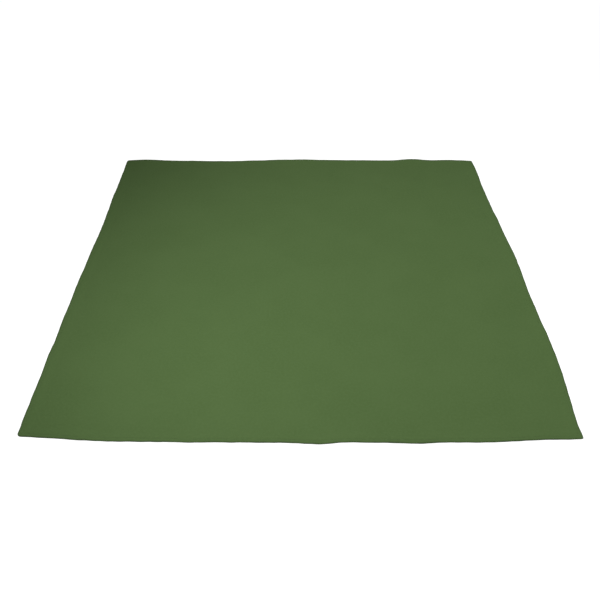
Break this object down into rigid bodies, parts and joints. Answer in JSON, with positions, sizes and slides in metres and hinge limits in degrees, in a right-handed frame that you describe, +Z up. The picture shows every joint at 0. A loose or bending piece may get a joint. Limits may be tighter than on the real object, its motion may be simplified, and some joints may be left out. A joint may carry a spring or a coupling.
{
  "type": "hemmed fabric ground sheet",
  "caption": "Square moss-green fabric sheet that lies flat, with a narrow hem on each side, turned under twice and lockstitched, and mitred at the corners.",
  "frame": {"origin": "on the ground, under the middle of the sheet", "axes": "+Z up, out of the sheet's top; +X along its width to the right; -Y towards its front edge"},
  "size_m": [1.5, 1.5, 0.0035],
  "materials": {
    "cloth": "matte brushed moss-green cloth with a fine close nap",
    "thread": "spun sewing thread matched to the cloth, a little lighter"
  },
  "bodies": {
    "root": {"ground_cloth": "cloth", "front_hem": "cloth", "right_hem": "cloth", "back_hem": "cloth", "left_hem": "cloth", "front_needle_thread": "thread", "right_needle_thread": "thread", "back_needle_thread": "thread", "left_needle_thread": "thread", "front_bobbin_thread": "thread", "right_bobbin_thread": "thread", "back_bobbin_thread": "thread", "left_bobbin_thread": "thread"}
  },
  "joints": []
}
